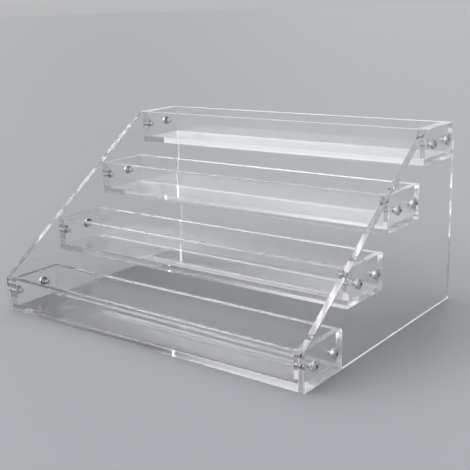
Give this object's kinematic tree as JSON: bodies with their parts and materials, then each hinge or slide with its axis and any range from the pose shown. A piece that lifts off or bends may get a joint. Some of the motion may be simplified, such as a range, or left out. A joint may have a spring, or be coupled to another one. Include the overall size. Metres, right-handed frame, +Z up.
{
  "type": "tiered shelf riser",
  "caption": "Stepped clear acrylic shelf riser: long open-top trays climb between two five-sided side panels, screwed through at each tray end.",
  "frame": {"origin": "middle of the footprint, on the surface that the riser stands on", "axes": "+X along the trays, to the right as seen from the front; +Y from the lowest tray at the front to the top tray at the back; +Z up"},
  "size_m": [0.3112, 0.228, 0.152],
  "materials": {
    "acrylic": "clear, polished cast acrylic sheet with polished edges",
    "steel": "bright stainless steel, as headed and rolled"
  },
  "bodies": {
    "root": {"side_panel_left": "acrylic", "side_panel_right": "acrylic", "tray_1_front": "acrylic", "tray_1_back": "acrylic", "tray_1_floor": "acrylic", "tray_1_end_left": "acrylic", "tray_1_end_right": "acrylic", "tray_1_screws": "steel", "tray_2_front": "acrylic", "tray_2_back": "acrylic", "tray_2_floor": "acrylic", "tray_2_end_left": "acrylic", "tray_2_end_right": "acrylic", "tray_2_screws": "steel", "tray_3_front": "acrylic", "tray_3_back": "acrylic", "tray_3_floor": "acrylic", "tray_3_end_left": "acrylic", "tray_3_end_right": "acrylic", "tray_3_screws": "steel", "tray_4_front": "acrylic", "tray_4_back": "acrylic", "tray_4_floor": "acrylic", "tray_4_end_left": "acrylic", "tray_4_end_right": "acrylic", "tray_4_screws": "steel"}
  },
  "joints": []
}
